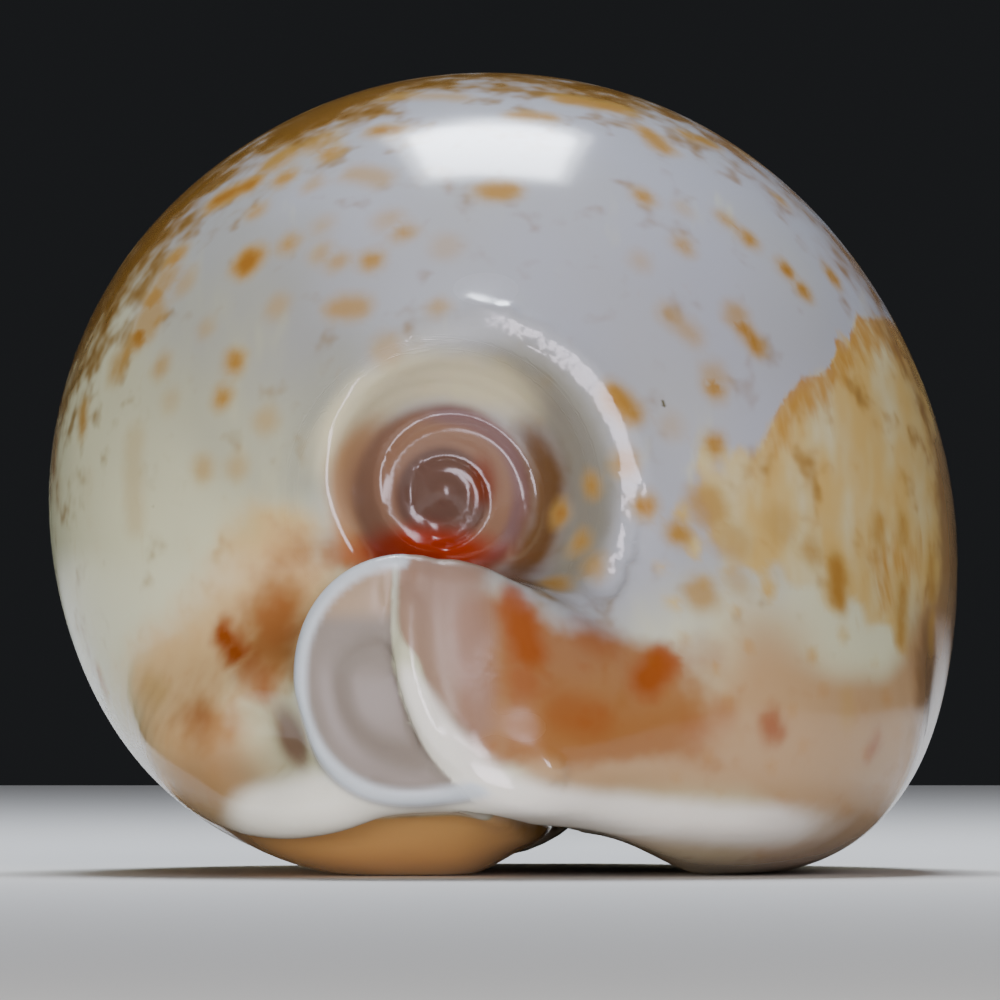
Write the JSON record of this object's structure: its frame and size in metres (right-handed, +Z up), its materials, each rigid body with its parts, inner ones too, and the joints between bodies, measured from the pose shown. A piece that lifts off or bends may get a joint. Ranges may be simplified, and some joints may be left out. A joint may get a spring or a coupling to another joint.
{
  "type": "cowrie shell",
  "caption": "Glossy domed sea-snail shell with a sunken spire, a spoon-shaped canal and a slit-like opening along its base; free-standing ornament.",
  "frame": {"origin": "on the ground below the middle of the shell", "axes": "+X to the right when the spire end is faced, +Y from the spire end to the far end, +Z up"},
  "size_m": [0.0578, 0.0884, 0.0508],
  "materials": {
    "enamel": "glossy natural enamel, cream to bluish white, with ochre-brown spots and rust-orange washes"
  },
  "bodies": {
    "root": {"shell": "enamel"}
  },
  "joints": []
}
